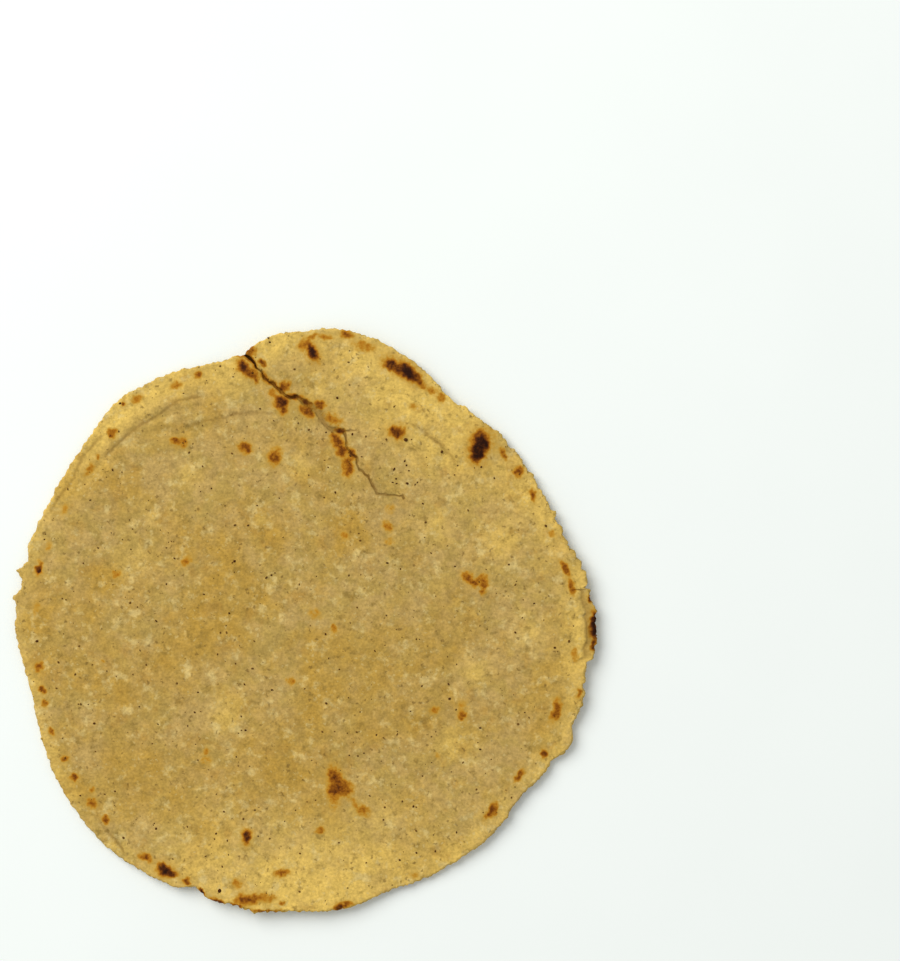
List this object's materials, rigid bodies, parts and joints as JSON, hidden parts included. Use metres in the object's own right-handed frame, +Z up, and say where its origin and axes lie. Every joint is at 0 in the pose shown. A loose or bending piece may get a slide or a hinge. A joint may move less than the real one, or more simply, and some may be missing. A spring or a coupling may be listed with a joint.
{
  "type": "corn tortilla",
  "caption": "Thin round corn tortilla with a ragged, slightly lifted rim, a crack running in from it, and toasted spots on pale maize dough.",
  "frame": {"origin": "under the middle of the bounding box, on the surface it lies on", "axes": "+Z up through the thin round, better side up; the crack's mouth is at the rim, near +Y and a little towards -X; +X to the right of it"},
  "size_m": [0.1508, 0.1504, 0.0046],
  "materials": {
    "maize_dough": null
  },
  "bodies": {
    "root": {"tortilla": "maize_dough"}
  },
  "joints": []
}
